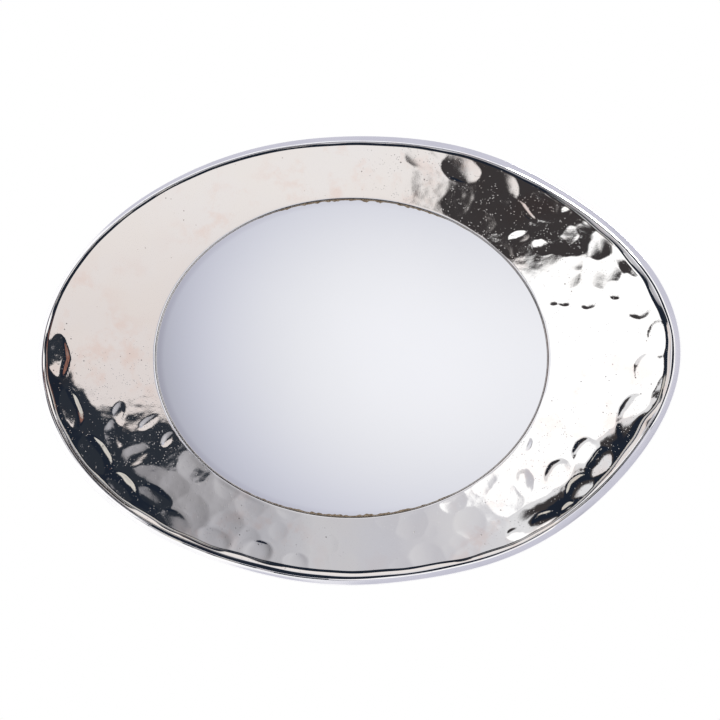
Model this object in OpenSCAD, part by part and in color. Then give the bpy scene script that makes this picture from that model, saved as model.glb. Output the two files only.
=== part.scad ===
// Eye-shaped wall mirror with a hammered metal frame.
// Front faces -Y, the wall is on +Y, +Z is up. The origin is where the nail carries the hanging ring.

/* [Outline] */
// Width over the side band
overall_w = 260; // [200:1:320]
// Height over the side band
overall_h = 182; // [140:1:230]
// Power of the oval: 2 is an ellipse, less makes the ends pointed
oval_power = 1.93; // [1.8:0.01:2]
// Share of the unevenness of a hand-cut outline: 0 gives an even oval
uneven = 1; // [0:0.1:1.5]

/* [Opening] */
// Width of the opening for the glass
opening_w = 156; // [120:1:180]
// Height of the opening for the glass
opening_h = 126.6; // [100:0.2:132]
// Offset of the opening to the right of the middle
opening_x = -3.1; // [-6:0.1:6]
// Offset of the opening above the middle
opening_z = 0.4; // [-3:0.1:3]

/* [Hammered sheet] */
// Thickness of the face sheet
sheet_t = 0.7; // [0.5:0.1:1.2]
// How much higher the face stands at the opening than at its outer edge
face_rise = 3.2; // [1:0.1:6]
// Roundness of that rise: 1 is a straight cone, more rounds it off towards the opening
face_crown = 1.15; // [1:0.05:1.8]
// Height of the lip that turns down round the opening
lip_h = 2.2; // [1.4:0.1:3]
// Width of the rolled bead along the outer edge
bead_w = 2.0; // [1.2:0.1:3]
// Height of the bead above the crease inside it
bead_h = 0.5; // [0.2:0.1:1]

/* [Side band] */
// Thickness of the side band
band_t = 0.8; // [0.6:0.1:1.2]
// How far the band leans out from its front edge to its back edge
band_flare = 3.2; // [2:0.1:4.5]
// How much more it leans at the right end, and less at the left end
flare_shift = 0.7; // [0:0.1:1.4]
// Width of the hem folded in at the back
hem_w = 6; // [4:0.5:10]

/* [Glass and back] */
// Thickness of the mirror glass
glass_t = 4; // [3:1:5]
// How far the glass reaches behind the lip
glass_overlap = 4; // [3:0.5:6]
// Thickness of the felt pad behind the glass
pad_t = 3; // [2:0.5:4]
// Thickness of the back board
board_t = 3; // [2.5:0.5:4]
// Distance from the outline in to the edge of the back board
board_inset = 8.5; // [7:0.5:14]

/* [Fixings] */
// Number of tacks along the hem
tack_count = 20; // [12:2:32]
// Number of screws round the back board
board_screw_count = 8; // [6:2:12]
// Radius of a bumper
bumper_r = 5; // [3:0.5:7]

/* [Hanger] */
// Wire radius of the ring
wire_r = 1; // [0.8:0.1:1.5]
// Radius of the ring's arc, to the middle of the wire
ring_r = 7; // [6:0.5:9]
// Distance from the top of the even oval down to the nail
hang_drop = 4.5; // [4:0.5:8]
// Width of the barrel that holds the ring
barrel_w = 9; // [7:0.5:9]
// Thickness of the strap plate
strap_t = 0.8; // [0.6:0.1:1.2]
// Radial clearance of the wire in the barrel
wire_gap = 0.06; // [0.02:0.01:0.1]

/* [Hidden] */
bumper_angles = [45, 135, 225, 315];
bumper_names = ["bumper_top_right", "bumper_top_left", "bumper_bottom_left", "bumper_bottom_right"];

// Colours
silver = [0.80, 0.79, 0.77];
old_wood = [0.66, 0.50, 0.33];

// Stations along the oval, and the drawn roundness of true curves
stations = 120;
step = 360 / stations;
curve_fn = 48;

// Oval
half_w = overall_w / 2;
half_h = overall_h / 2;
centre_z = hang_drop - half_h;

// Unevenness of the outline: [waves round the oval, share of the radius, angle of the first crest]
waves = [[1, 0.0083, -129], [2, 0.0053, 100], [4, 0.004, 122], [5, 0.0026, 13], [6, 0.0035, 63],
         [7, 0.0033, 39]];

// Direction in which the band leans out most, as an angle below the right end
flare_turn = 12;

// Small gaps and roundings
seam_gap = 0.05;
putty_bed = 0.25;
lip_round = 0.8;
bead_drop = 1.8;
band_lap = 0.6;
hem_round = 1;
bedding = 1.1;
glass_play = 0.8;
head_gap = 0.02;

// Depths, from the wall to the front: each is a Y value
barrel_r = wire_r + wire_gap + strap_t;
bumper_h = 4.2;
board_back = -barrel_r;
core_back = board_back - board_t;
hem_back = core_back + band_t;
pad_front = core_back - pad_t;
glass_front = pad_front - glass_t;
lip_end = glass_front - putty_bed;
face_in = lip_end - lip_h;
face_out = face_in + face_rise;
bead_top = face_out - bead_h;
bead_end = bead_top + bead_drop;
band_front = bead_end - band_lap;
band_end = hem_back - hem_round * 1.4;

// Hanger places
arc_z = wire_r - ring_r;
corner_r = 2;
leg_h = 1;
bar_z = arc_z - leg_h - corner_r;
strap_half = 14.5;
strap_end_r = 4;
strap_screw_x = 10.8;
strap_screw_z = bar_z - 5.2;

// Fixing sizes: radius of the head, its height, radius of the shank and its length
tack = [1.9, 0.7, 0.6, 4];
board_screw = [2.6, 1.3, 1.2, 7.5];
strap_screw = [2.4, 1.2, 1.3, 8];
board_screw_inset = board_inset + 5.5;
tack_inset = hem_w * 0.62;
bumper_inset = board_inset + 11.5;
screw_play = 0.2;
slot_w = 0.6;
slot_depth = 0.7;

// Angle of the middle of station t, seen from the centre
function polar(t) = atan2(half_h * sin(t), half_w * cos(t));

// Sum of all waves at polar angle a, from wave i on
function waver(a, i = 0) = i == len(waves) ? 0
    : waves[i][1] * cos(waves[i][0] * a - waves[i][2]) + waver(a, i + 1);

// Radius of the outline at polar angle a
function outline_r(a) =
    pow(pow(abs(cos(a)) / half_w, oval_power) + pow(abs(sin(a)) / half_h, oval_power), -1 / oval_power)
    * (1 + uneven * waver(a));

// Point of the outline at station t, as [x, z]
function outline(t) = let (a = polar(t)) [0, centre_z] + outline_r(a) * [cos(a), sin(a)];

// Outward direction at station t
function outward(t) = let (d = outline(t + 1) - outline(t - 1)) [d.y, -d.x] / norm(d);

// Point of the outline moved in by d
function rim(t, d) = outline(t) - d * outward(t);

// Point of the opening's ellipse, grown by g
function hole(t, g) = [opening_x + (opening_w / 2 + g) * cos(t),
                       centre_z + opening_z + (opening_h / 2 + g) * sin(t)];

// How far the band leans out at station t, and its lean for each millimetre of depth
function flare(t) = band_flare + flare_shift * cos(polar(t) + flare_turn);
function band_slope(t) = (flare(t) + sheet_t + seam_gap - hem_round * 0.25) / (band_end - band_front);

// A point in space from [x, z] and a depth
function at(p, y) = [p.x, y, p.y];

// Closed outlines as lists of [x, z]
function rim_loop(d) = [for (i = [0 : stations - 1]) rim(i * step, d)];
function hole_loop(g) = [for (i = [0 : stations - 1]) hole(i * step, g)];

// Sweeps a closed section round the oval: loops holds one list of points for each station
module ring_sweep(loops) {
    n = len(loops);
    m = len(loops[0]);
    polyhedron(
        points = [for (loop = loops) for (p = loop) p],
        faces = [for (i = [0 : n - 1]) for (j = [0 : m - 1])
            let (a = i * m + j, b = i * m + (j + 1) % m,
                 c = ((i + 1) % n) * m + (j + 1) % m, d = ((i + 1) % n) * m + j)
            each [[a, c, b], [a, d, c]]]);
}

// A flat plate of a 2D outline in X and Z, from back towards the front
module plate(back, thickness) {
    translate([0, back, 0]) rotate([90, 0, 0]) linear_extrude(height = thickness) children();
}

// Points along Y with the foot at the given place, the length running towards the front
module driven(p, y) {
    translate(at(p, y)) rotate([90, 0, 0]) children();
}

// Height of the face between its outer crease, s = 0, and the opening, s = 1
function face_y(s) = face_out - face_rise * (1 - pow(1 - s, face_crown));

// Point of the face at station a, moved towards the wall by back
function face_point(a, s, back) =
    let (outer = rim(a, flare(a) + bead_w + 0.6), inner = hole(a, lip_round + 0.1))
    at(outer + s * (inner - outer), face_y(s) + back);

face_steps = [1, 0.82, 0.64, 0.46, 0.3, 0.16, 0.06, 0];

// Section of the face sheet at station a: lip, face, crease, bead and turned edge, then back inside
function face_section(a) =
    let (edge = flare(a), bead_in = edge + bead_w, bead_mid = edge + bead_w / 2,
         lean = band_slope(a) * band_lap)
    concat(
        [at(hole(a, 0), lip_end), at(hole(a, 0), face_in + lip_round),
         at(hole(a, lip_round * 0.3), face_in + lip_round * 0.3)],
        [for (s = face_steps) face_point(a, s, 0)],
        [at(rim(a, bead_in), face_out - bead_h * 0.5),
         at(rim(a, bead_mid + 0.35), bead_top),
         at(rim(a, bead_mid - 0.35), bead_top + 0.05),
         at(rim(a, edge + 0.15), bead_top + 0.45),
         at(rim(a, edge - 0.05), bead_top + 1.0),
         at(rim(a, edge - lean), bead_end),
         at(rim(a, edge + sheet_t - lean), bead_end),
         at(rim(a, edge + sheet_t), bead_top + 1.1),
         at(rim(a, bead_mid), bead_top + sheet_t + 0.1),
         at(rim(a, bead_in), face_out - bead_h * 0.5 + sheet_t)],
        [for (i = [len(face_steps) - 1 : -1 : 0]) face_point(a, face_steps[i], sheet_t)],
        [at(hole(a, sheet_t), face_in + sheet_t + 0.4), at(hole(a, sheet_t), lip_end)]);

module hammered_face() {
    color(silver) ring_sweep([for (i = [0 : stations - 1]) face_section(i * step)]);
}

// Section of the side band: leaning wall, round corner and hem
function band_section(a) =
    let (t = band_t, r = hem_round, top = flare(a) + sheet_t + seam_gap)
    [at(rim(a, top), band_front),
     at(rim(a, r * 0.25), band_end),
     at(rim(a, 0), hem_back - r * 0.9),
     at(rim(a, r * 0.3), hem_back - r * 0.25),
     at(rim(a, r), hem_back),
     at(rim(a, hem_w), hem_back),
     at(rim(a, hem_w), hem_back - t),
     at(rim(a, r + 0.3), hem_back - t),
     at(rim(a, r * 0.25 + t), band_end - t * 0.5),
     at(rim(a, top + t), band_front)];

module side_band() {
    color(silver) ring_sweep([for (i = [0 : stations - 1]) band_section(i * step)]);
}

module mirror_glass() {
    color([0.82, 0.83, 0.87]) plate(pad_front, glass_t) polygon(hole_loop(glass_overlap));
}

// Section of the putty: a thin bed under the lip and a small fillet in the corner
function putty_section(a) =
    let (bed = glass_front - putty_bed + seam_gap, under = sheet_t + 0.4)
    [at(hole(a, -0.9), glass_front), at(hole(a, -0.35), glass_front - 0.6),
     at(hole(a, -seam_gap), glass_front - 0.75), at(hole(a, -seam_gap), bed),
     at(hole(a, under), bed), at(hole(a, under), glass_front)];

module glazing_putty() {
    color([0.62, 0.50, 0.36]) ring_sweep([for (i = [0 : stations - 1]) putty_section(i * step)]);
}

// Section of the wood core: outer wall, flat back, rabbet for the glass and sloping front
function core_section(a) =
    let (under = sheet_t + bedding, wall_in = flare(a) + sheet_t + band_t + 0.6,
         inner = sheet_t + 0.9, rabbet = glass_overlap + glass_play, ledge = glass_front - seam_gap)
    [at(hole(a, inner), ledge), at(hole(a, inner), face_in + under + 0.3),
     face_point(a, 0.8, under), face_point(a, 0.45, under), face_point(a, 0.15, under),
     at(rim(a, wall_in + 1.6), face_out + under), at(rim(a, wall_in), band_front + 0.6),
     at(rim(a, 2.2), core_back - 1.6), at(rim(a, 2.6), core_back - seam_gap),
     at(hole(a, rabbet), core_back - seam_gap), at(hole(a, rabbet), ledge)];

module wood_core() {
    color(old_wood) ring_sweep([for (i = [0 : stations - 1]) core_section(i * step)]);
}

module backing_pad() {
    color([0.36, 0.35, 0.34]) plate(core_back, pad_t) polygon(hole_loop(glass_overlap + 0.3));
}

board_screw_angles = [for (i = [0 : board_screw_count - 1]) (i + 0.5) * 360 / board_screw_count];
function board_screw_place(a) = rim(a, board_screw_inset);

// Clear hole for a screw through the back board
module screw_way(p, screw) {
    driven(p, board_back + 1) cylinder(r = screw[2] + screw_play, h = board_t + 2, $fn = curve_fn);
}

module back_board() {
    color(old_wood * 0.8) difference() {
        plate(board_back, board_t) polygon(rim_loop(board_inset));
        for (a = board_screw_angles) screw_way(board_screw_place(a), board_screw);
        for (side = [-1, 1]) screw_way([side * strap_screw_x, strap_screw_z], strap_screw);
    }
}

// A round-headed nail of the given sizes: its head's underside lies at height 0 and it points up
module nail(sizes) {
    head_r = sizes[0];
    head_h = sizes[1];
    shank_r = sizes[2];
    length = sizes[3];
    rotate_extrude($fn = curve_fn)
        polygon([[0, -head_h], [head_r * 0.45, -head_h * 0.92], [head_r * 0.8, -head_h * 0.6],
                 [head_r, 0], [shank_r, 0], [shank_r, length - shank_r * 2], [0, length]]);
}

// The same with a screwdriver slot, turned by an angle
module screw(sizes, turn) {
    difference() {
        nail(sizes);
        rotate([0, 0, turn]) translate([-sizes[0] - 1, -slot_w / 2, -sizes[1] - 1])
            cube([2 * sizes[0] + 2, slot_w, slot_depth + 1]);
    }
}

module band_tacks() {
    color([0.75, 0.72, 0.66])
        for (i = [0 : tack_count - 1])
            driven(rim((i + 0.5) * 360 / tack_count, tack_inset), hem_back + head_gap) nail(tack);
}

module board_screws() {
    color([0.72, 0.62, 0.35])
        for (a = board_screw_angles)
            driven(board_screw_place(a), board_back + head_gap) screw(board_screw, a * 2.7);
}

module hanger_strap() {
    color([0.74, 0.73, 0.70]) difference() {
        union() {
            plate(board_back + strap_t, strap_t) difference() {
                hull() {
                    for (side = [-1, 1])
                        translate([side * (strap_half - strap_end_r), strap_screw_z])
                            circle(r = strap_end_r, $fn = 32);
                    translate([-barrel_w / 2, bar_z - 1]) square([barrel_w, 1]);
                }
                for (side = [-1, 1])
                    translate([side * strap_screw_x, strap_screw_z])
                        circle(r = strap_screw[2] + screw_play, $fn = curve_fn);
            }
            translate([-barrel_w / 2, 0, bar_z]) rotate([0, 90, 0])
                cylinder(r = barrel_r, h = barrel_w, $fn = curve_fn);
        }
        translate([-barrel_w, 0, bar_z]) rotate([0, 90, 0])
            cylinder(r = wire_r + wire_gap, h = barrel_w * 2, $fn = curve_fn);
    }
}

module hanger_screws() {
    color([0.72, 0.62, 0.35])
        for (side = [-1, 1])
            driven([side * strap_screw_x, strap_screw_z], board_back + strap_t + head_gap)
                screw(strap_screw, 35 * side);
}

// A bend of the ring's wire: a quarter or half turn in the XZ plane
module bend(centre, r, start, angle) {
    translate(at(centre, 0)) rotate([90, 0, 0]) rotate([0, 0, start])
        rotate_extrude(angle = angle, $fn = curve_fn) translate([r, 0]) circle(r = wire_r, $fn = curve_fn);
}

module hanging_ring() {
    color([0.74, 0.73, 0.70]) {
        bend([0, arc_z], ring_r, 0, 180);
        for (side = [-1, 1])
            translate([side * ring_r, 0, arc_z - leg_h]) cylinder(r = wire_r, h = leg_h, $fn = curve_fn);
        bend([ring_r - corner_r, bar_z + corner_r], corner_r, 270, 90);
        bend([corner_r - ring_r, bar_z + corner_r], corner_r, 180, 90);
        translate([corner_r - ring_r, 0, bar_z]) rotate([0, 90, 0])
            cylinder(r = wire_r, h = 2 * (ring_r - corner_r), $fn = curve_fn);
    }
}

module bumper(i) {
    h = bumper_h;
    r = bumper_r;
    color([0.30, 0.29, 0.28])
        translate(at(rim(bumper_angles[i], bumper_inset), board_back)) rotate([-90, 0, 0])
            rotate_extrude($fn = curve_fn)
                polygon([[0, 0], [r, 0], [r, h - 1.2], [r - 0.4, h - 0.4], [r - 1.2, h], [0, h]]);
}

hammered_face();
side_band();
mirror_glass();
glazing_putty();
wood_core();
backing_pad();
back_board();
band_tacks();
board_screws();
hanger_strap();
hanger_screws();
hanging_ring();
for (i = [0 : len(bumper_names) - 1])
    bumper(i);
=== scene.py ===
import math
import random

import bpy
import numpy as np
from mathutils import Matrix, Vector, noise


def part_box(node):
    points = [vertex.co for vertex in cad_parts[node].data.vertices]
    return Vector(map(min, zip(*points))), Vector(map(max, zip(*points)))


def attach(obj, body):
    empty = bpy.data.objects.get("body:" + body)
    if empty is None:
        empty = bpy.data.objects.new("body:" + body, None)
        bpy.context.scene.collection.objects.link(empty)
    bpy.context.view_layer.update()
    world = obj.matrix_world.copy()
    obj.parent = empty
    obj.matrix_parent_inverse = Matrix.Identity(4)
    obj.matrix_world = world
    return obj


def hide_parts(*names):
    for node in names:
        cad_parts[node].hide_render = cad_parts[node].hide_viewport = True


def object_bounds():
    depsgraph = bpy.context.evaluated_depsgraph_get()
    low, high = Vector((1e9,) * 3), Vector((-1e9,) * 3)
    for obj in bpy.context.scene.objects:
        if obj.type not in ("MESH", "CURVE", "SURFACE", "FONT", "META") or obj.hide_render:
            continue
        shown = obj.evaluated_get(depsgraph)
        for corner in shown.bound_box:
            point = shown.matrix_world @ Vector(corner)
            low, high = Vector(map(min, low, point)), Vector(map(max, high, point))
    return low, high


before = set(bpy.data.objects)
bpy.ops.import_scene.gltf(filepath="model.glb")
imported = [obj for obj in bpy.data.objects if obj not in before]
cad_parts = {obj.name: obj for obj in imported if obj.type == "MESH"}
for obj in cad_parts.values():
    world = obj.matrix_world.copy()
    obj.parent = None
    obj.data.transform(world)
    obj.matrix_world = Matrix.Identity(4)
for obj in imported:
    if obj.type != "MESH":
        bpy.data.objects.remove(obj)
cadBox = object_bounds()
print("frame loaded:", len(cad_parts), "nodes")

mm = 0.001

# The oval of the frame, in millimetres, with the lean of the side band
oval = {
    "halfWidth": 130.0,
    "halfHeight": 91.0,
    "middleZ": -86.5,
    "power": 1.93,
    "flare": 3.2,
    "flareShift": 0.7,
    "flareTurn": 12,
}
# Unevenness of the hand-cut outline: waves round the oval, share of the radius, angle of a crest
outlineWaves = [(1, 0.0083, -129), (2, 0.0053, 100), (4, 0.004, 122), (5, 0.0026, 13), (6, 0.0035, 63),
                (7, 0.0033, 39)]
# The opening for the glass, placed from the oval's middle
opening = {"width": 156.0, "height": 126.6, "x": -3.1, "z": 0.4}


def depths(node):  # the front and the back of a CAD piece, in millimetres
    low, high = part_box(node)
    return low.y / mm, high.y / mm


sheetFront = depths("hammered_face")[0]
bandFront, bandBack = depths("side_band")
glassFront, glassBack = depths("mirror_glass")
boardFront, boardBack = depths("back_board")


class Wire:  # an output socket that can be used in sums
    def __init__(self, bench, socket):
        self.bench = bench
        self.socket = socket

    def other(self, name):  # another output of the same node
        return Wire(self.bench, self.socket.node.outputs[name])

    def math(self, operation, *values):
        return self.bench.add("ShaderNodeMath", {"operation": operation}, dict(enumerate((self, *values))))

    def __add__(self, value):
        return self.math("ADD", value)

    def __sub__(self, value):
        return self.math("SUBTRACT", value)

    def __mul__(self, value):
        return self.math("MULTIPLY", value)

    def __truediv__(self, value):
        return self.math("DIVIDE", value)

    def __pow__(self, value):
        return self.math("POWER", value)

    def __rsub__(self, value):
        return self.bench.number(value).math("SUBTRACT", self)

    def __rtruediv__(self, value):
        return self.bench.number(value).math("DIVIDE", self)

    def __neg__(self):
        return self.math("MULTIPLY", -1.0)

    __radd__ = __add__
    __rmul__ = __mul__

    def low(self, value):
        return self.math("MINIMUM", value)

    def high(self, value):
        return self.math("MAXIMUM", value)

    def rise(self, start, end):  # 0 before start, 1 after end, smooth between
        return self.bench.add("ShaderNodeMapRange", {"interpolation_type": "SMOOTHSTEP"},
                              {"Value": self, "From Min": start, "From Max": end})

    def within(self, start, end, soft):  # 1 between start and end
        return self.rise(start - soft, start + soft) * (1 - self.rise(end - soft, end + soft))


class Bench:  # adds nodes to one tree
    def __init__(self, tree):
        self.tree = tree

    def add(self, kind, settings=None, sockets=None, out=0):
        node = self.tree.nodes.new(kind)
        for name, value in (settings or {}).items():
            if name == "stops":
                ramp = node.color_ramp
                while len(ramp.elements) < len(value):
                    ramp.elements.new(0.5)
                for element, (place, colour) in zip(ramp.elements, value):
                    element.position = place
                    element.color = (*colour, 1)
            else:
                setattr(node, name, value)
        for name, value in (sockets or {}).items():
            if isinstance(value, Wire):
                self.tree.links.new(value.socket, node.inputs[name])
            else:
                node.inputs[name].default_value = value
        return Wire(self, node.outputs[out]) if len(node.outputs) else node

    def number(self, value):
        return self.add("ShaderNodeMath", {"operation": "ADD"}, {0: value, 1: 0.0})

    def blend(self, share, first, second):  # two colours
        tints = [(*c, 1) if isinstance(c, tuple) else c for c in (first, second)]
        return self.add("ShaderNodeMix", {"data_type": "RGBA"}, {0: share, 6: tints[0], 7: tints[1]}, out=2)

    def scaled(self, vector, sizes):
        return self.add("ShaderNodeVectorMath", {"operation": "MULTIPLY"}, {0: vector, 1: sizes})

    def clouds(self, vector, scale, detail=2.0, roughness=0.5):
        return self.add("ShaderNodeTexNoise", {"noise_dimensions": "3D"},
                        {"Vector": vector, "Scale": scale, "Detail": detail, "Roughness": roughness})

    def cells(self, vector, scale):
        return self.add("ShaderNodeTexVoronoi", {"feature": "F1"}, {"Vector": vector, "Scale": scale})

    def ramp(self, share, *stops):
        return self.add("ShaderNodeValToRGB", {"stops": stops}, {"Fac": share})

    def split(self, vector):  # the X output, with Y and Z beside it
        return self.add("ShaderNodeSeparateXYZ", {}, {0: vector}, out="X")

    def relief(self, height, distance, strength=1.0):
        return self.add("ShaderNodeBump", {},
                        {"Height": height, "Distance": distance, "Strength": strength})


def newMaterial(name, recipe, fixed=None):
    material = bpy.data.materials.new(name)
    material.use_nodes = True
    tree = material.node_tree
    tree.nodes.clear()
    bench = Bench(tree)
    place = bench.add("ShaderNodeTexCoord", out="Object")
    sockets = dict(fixed or {})
    sockets.update(recipe(bench, place))
    surface = bench.add("ShaderNodeBsdfPrincipled", {}, sockets)
    output = tree.nodes.new("ShaderNodeOutputMaterial")
    tree.links.new(surface.socket, output.inputs["Surface"])
    return material


def paint(piece, material):
    piece.data.materials.clear()
    piece.data.materials.append(material)


def stations(count):  # equal steps of the angle that runs round the oval
    return np.radians(np.arange(count) * 360 / count)


def polar(t):
    return np.arctan2(oval["halfHeight"] * np.sin(t), oval["halfWidth"] * np.cos(t))


def outline(t):
    a = polar(t)
    power = oval["power"]
    across = (np.abs(np.cos(a)) / oval["halfWidth"]) ** power
    reach = across + (np.abs(np.sin(a)) / oval["halfHeight"]) ** power
    uneven = sum(share * np.cos(count * a - math.radians(crest)) for count, share, crest in outlineWaves)
    r = reach ** (-1 / power) * (1 + uneven)
    return np.stack([r * np.cos(a), oval["middleZ"] + r * np.sin(a)], -1)


def outward(t):
    turn = math.radians(1)
    d = outline(t + turn) - outline(t - turn)
    n = np.stack([d[..., 1], -d[..., 0]], -1)
    return n / np.linalg.norm(n, axis=-1, keepdims=True)


def rim(t, inset):  # the outline moved in
    return outline(t) - np.asarray(inset)[..., None] * outward(t)


def hole(t, grow):  # the opening's ellipse, grown
    x = opening["x"] + (opening["width"] / 2 + grow) * np.cos(t)
    z = oval["middleZ"] + opening["z"] + (opening["height"] / 2 + grow) * np.sin(t)
    return np.stack([x, z], -1)


def flare(t):
    return oval["flare"] + oval["flareShift"] * np.cos(polar(t) + math.radians(oval["flareTurn"]))


def at(flat, y):  # points in X and Z, in millimetres, set at a depth
    y = np.broadcast_to(np.asarray(y, float), flat.shape[:-1])
    return np.stack([flat[..., 0], y, flat[..., 1]], -1)


def wander(t, seed, waves, size):  # a smooth uneven line round the oval
    dice = random.Random(seed)
    total = np.zeros_like(t)
    for wave in waves:
        total += dice.uniform(0.5, 1) * np.sin(wave * t + dice.uniform(0, 6.28))
    return size * total / len(waves) ** 0.5


def newMesh(name, points, faces, smoothAngle=40):
    mesh = bpy.data.meshes.new(name)
    mesh.from_pydata((np.asarray(points).reshape(-1, 3) * mm).tolist(), [], faces)
    mesh.validate()
    mesh.shade_smooth()
    mesh.set_sharp_from_angle(angle=math.radians(smoothAngle))
    return mesh


def newPiece(name, mesh):
    piece = bpy.data.objects.new(name, mesh)
    bpy.context.scene.collection.objects.link(piece)
    return piece


def gridFaces(rings, steps, closeRings=True):
    faces = []
    for i in range(rings if closeRings else rings - 1):
        for j in range(steps):
            a = i * steps + j
            b = i * steps + (j + 1) % steps
            c = (i + 1) % rings * steps + (j + 1) % steps
            d = (i + 1) % rings * steps + j
            faces.append((a, d, c, b))
    return faces


def outwards(points, faces):  # turns the faces round if the closed shape is inside out
    p = np.asarray(points).reshape(-1, 3)
    volume = 0.0
    for face in faces:
        for k in range(1, len(face) - 1):
            volume += np.dot(p[face[0]], np.cross(p[face[k]], p[face[k + 1]]))
    return faces if volume > 0 else [tuple(reversed(f)) for f in faces]


def sweepRing(name, loops, smoothAngle=40):  # loops: (stations, section points, 3)
    rings, steps = loops.shape[:2]
    sample = loops[:: max(1, rings // 60)]
    coarse = gridFaces(*sample.shape[:2])
    flip = outwards(sample, coarse) is not coarse
    faces = gridFaces(rings, steps)
    if flip:
        faces = [tuple(reversed(f)) for f in faces]
    return newPiece(name, newMesh(name, loops, faces, smoothAngle))


def closedPane(name, sections, middle, ends):  # rings across a pane, closed in the middle at both ends
    count = len(sections[0])
    centres = [[middle[0], y, middle[1]] for y in ends]
    points = np.concatenate([np.stack(sections, 0).reshape(-1, 3), centres])
    faces = gridFaces(len(sections), count, closeRings=False)
    tail = (len(sections) - 1) * count
    for i in range(count):
        j = (i + 1) % count
        faces.append((len(points) - 2, i, j))
        faces.append((len(points) - 1, tail + j, tail + i))
    return newPiece(name, newMesh(name, points, outwards(points, faces), 25))


def lathe(name, profile, turns):  # profile: (radius, height) from the axis and back to it, along +Z
    points = []
    for r, z in profile:
        count = 1 if r == 0 else turns
        for i in range(count):
            a = 2 * math.pi * i / turns
            points.append((r * math.cos(a), r * math.sin(a), z))
    starts = []
    total = 0
    for r, z in profile:
        starts.append(total)
        total += 1 if r == 0 else turns
    faces = []
    for k in range(len(profile) - 1):
        low, high = starts[k], starts[k + 1]
        for i in range(turns):
            j = (i + 1) % turns
            if profile[k][0] == 0:
                faces.append((low, high + i, high + j))
            elif profile[k + 1][0] == 0:
                faces.append((low + i, high, low + j))
            else:
                faces.append((low + i, high + i, high + j, low + j))
    return newMesh(name, points, outwards(points, faces), 30)


def treeFor(name, inputs):  # a geometry tree with a geometry input and the named ones
    tree = bpy.data.node_groups.new(name, "GeometryNodeTree")
    tree.interface.new_socket("Geometry", in_out="OUTPUT", socket_type="NodeSocketGeometry")
    tree.interface.new_socket("Geometry", in_out="INPUT", socket_type="NodeSocketGeometry")
    for label, kind in inputs.items():
        tree.interface.new_socket(label, in_out="INPUT", socket_type="NodeSocket" + kind)
    start = tree.nodes.new("NodeGroupInput")
    bench = Bench(tree)
    return bench, {label: Wire(bench, start.outputs[label]) for label in ("Geometry", *inputs)}


def closeTree(bench, geometry, material):
    real = bench.add("GeometryNodeRealizeInstances", {}, {"Geometry": geometry})
    done = bench.add("GeometryNodeSetMaterial", {}, {"Geometry": real, "Material": material})
    end = bench.tree.nodes.new("NodeGroupOutput")
    bench.tree.links.new(done.socket, end.inputs["Geometry"])


def applied(piece):  # leaves a plain mesh without modifiers
    bpy.context.view_layer.update()
    shaped = piece.evaluated_get(bpy.context.evaluated_depsgraph_get())
    mesh = bpy.data.meshes.new_from_object(shaped)
    piece.modifiers.clear()
    piece.data = mesh
    return mesh


def runTree(piece, tree, values):
    modifier = piece.modifiers.new(tree.name, "NODES")
    modifier.node_group = tree
    for item in tree.interface.items_tree:
        if item.item_type == "SOCKET" and item.in_out == "INPUT" and item.name in values:
            modifier[item.identifier] = values[item.name]
    applied(piece).name = piece.name


def finishPiece(piece, slot, *nodes, body="mirror"):
    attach(piece, body)
    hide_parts(*nodes)
    print("piece:", piece.name, len(piece.data.polygons), "faces")


# The hammered sheet, in millimetres
faceSheet = {
    "stations": 880,
    "acrossFront": 68,  # rows from the crease to the lip
    "acrossBack": 18,
    "thickness": 0.7,
    "rise": 2.55,  # from the opening's edge back to the crease
    "crown": 1.12,
    "rollPower": 2.2,  # how sharply the sheet turns up into the bead
    "beadTop": 2.76,
    "edgeDrop": 1.8,  # from the bead's top to the turned edge
    "crestHeight": 0.8,
    "slantFall": 0.78,  # how steeply the strip outside the crest falls
    "darkSide": (-118, 36, 0.55),  # where that strip is widest: middle angle, half the angle, width
    "lipRound": 0.45,
    "lipGap": 0.08,  # between the lip's end and the glass
    "creaseWander": 0.24,
    "planishCell": 11.5,
    "planishDepth": 0.15,
    "planishCalm": 138,  # the angle where the sheet is smoothest
    "uneven": 0.09,
    "ragged": 0.1,
    "blowDepth": 1.0,  # share of the depths listed below
    "wobble": 1.5,
    "seed": 3.7,
}

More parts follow.
